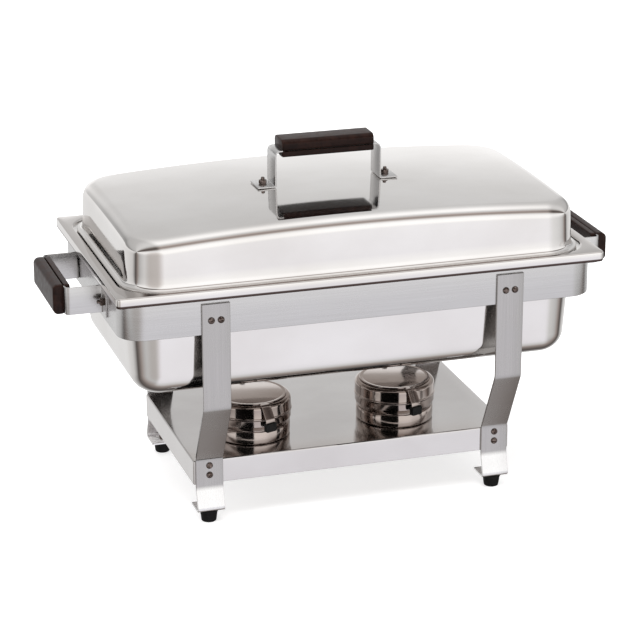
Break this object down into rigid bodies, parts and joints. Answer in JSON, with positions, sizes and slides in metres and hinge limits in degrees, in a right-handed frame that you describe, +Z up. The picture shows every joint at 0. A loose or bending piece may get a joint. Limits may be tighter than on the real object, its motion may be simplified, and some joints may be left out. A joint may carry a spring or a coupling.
{
  "type": "chafing dish food warmer",
  "caption": "Full-size chafing dish with a strap-leg stand, base tray, water pan, food pan, arched lid, side handles and fuel burners.",
  "frame": {"origin": "middle of the footprint on the floor, under the centre of the pan rim", "axes": "+X along the long side towards the right side handle, +Y from the serving side to the back, +Z up"},
  "size_m": [0.726, 0.35, 0.4514],
  "materials": {
    "polished_steel": "mirror-polished stainless steel",
    "satin_steel": "satin stainless steel",
    "fastener_steel": "bright zinc-plated steel",
    "grip_plastic": "dark brown phenolic, semi-gloss",
    "foot_rubber": "black moulded rubber",
    "tip_plastic": "black heat-proof plastic",
    "wick_felt": "off-white wick felt"
  },
  "bodies": {
    "stand": {"carrying_band": "satin_steel", "leg_front_left": "satin_steel", "leg_front_right": "satin_steel", "leg_rear_left": "satin_steel", "leg_rear_right": "satin_steel", "base_tray": "polished_steel", "foot_front_left": "foot_rubber", "foot_front_right": "foot_rubber", "foot_rear_left": "foot_rubber", "foot_rear_right": "foot_rubber", "foot_screws": "fastener_steel", "foot_nuts": "fastener_steel", "band_screws": "fastener_steel", "band_nuts": "fastener_steel", "tray_screws": "fastener_steel", "tray_nuts": "fastener_steel", "left_handle_strap": "satin_steel", "left_handle_grip": "grip_plastic", "left_handle_screws": "fastener_steel", "left_handle_nuts": "fastener_steel", "right_handle_strap": "satin_steel", "right_handle_grip": "grip_plastic", "right_handle_screws": "fastener_steel", "right_handle_nuts": "fastener_steel"},
    "water_pan_body": {"water_pan": "polished_steel"},
    "food_pan_body": {"food_pan": "polished_steel"},
    "lid": {"lid_shell": "polished_steel", "lid_handle_strap": "satin_steel", "lid_handle_grip": "grip_plastic", "lid_handle_screws": "fastener_steel", "lid_handle_nuts": "fastener_steel"},
    "left_burner": {"left_burner_cup": "polished_steel", "left_burner_collar": "polished_steel", "left_burner_wick": "wick_felt", "left_burner_pivot": "fastener_steel"},
    "left_cover": {"left_burner_cover": "polished_steel", "left_burner_tip": "tip_plastic"},
    "right_burner": {"right_burner_cup": "polished_steel", "right_burner_collar": "polished_steel", "right_burner_wick": "wick_felt", "right_burner_pivot": "fastener_steel"},
    "right_cover": {"right_burner_cover": "polished_steel", "right_burner_tip": "tip_plastic"}
  },
  "joints": [
    {"name": "water_pan_lift", "type": "slide", "parent": "stand", "child": "water_pan_body", "axis": [0, 0, 1], "range_m": [0, 0.16]},
    {"name": "food_pan_lift", "type": "slide", "parent": "water_pan_body", "child": "food_pan_body", "axis": [0, 0, 1], "range_m": [0, 0.12]},
    {"name": "lid_lift", "type": "slide", "parent": "food_pan_body", "child": "lid", "axis": [0, 0, 1], "range_m": [0, 0.14]},
    {"name": "left_burner_slide", "type": "slide", "parent": "stand", "child": "left_burner", "axis": [0, -1, 0], "range_m": [0, 0.2]},
    {"name": "right_burner_slide", "type": "slide", "parent": "stand", "child": "right_burner", "axis": [0, -1, 0], "range_m": [0, 0.2]},
    {"name": "left_cover_swivel", "type": "hinge", "parent": "left_burner", "child": "left_cover", "pos_m": [-0.112, -0.0065, 0.1348], "axis": [0, 0, 1], "range_deg": [0, 60]},
    {"name": "right_cover_swivel", "type": "hinge", "parent": "right_burner", "child": "right_cover", "pos_m": [0.08, -0.0065, 0.1348], "axis": [0, 0, -1], "range_deg": [0, 60]}
  ]
}
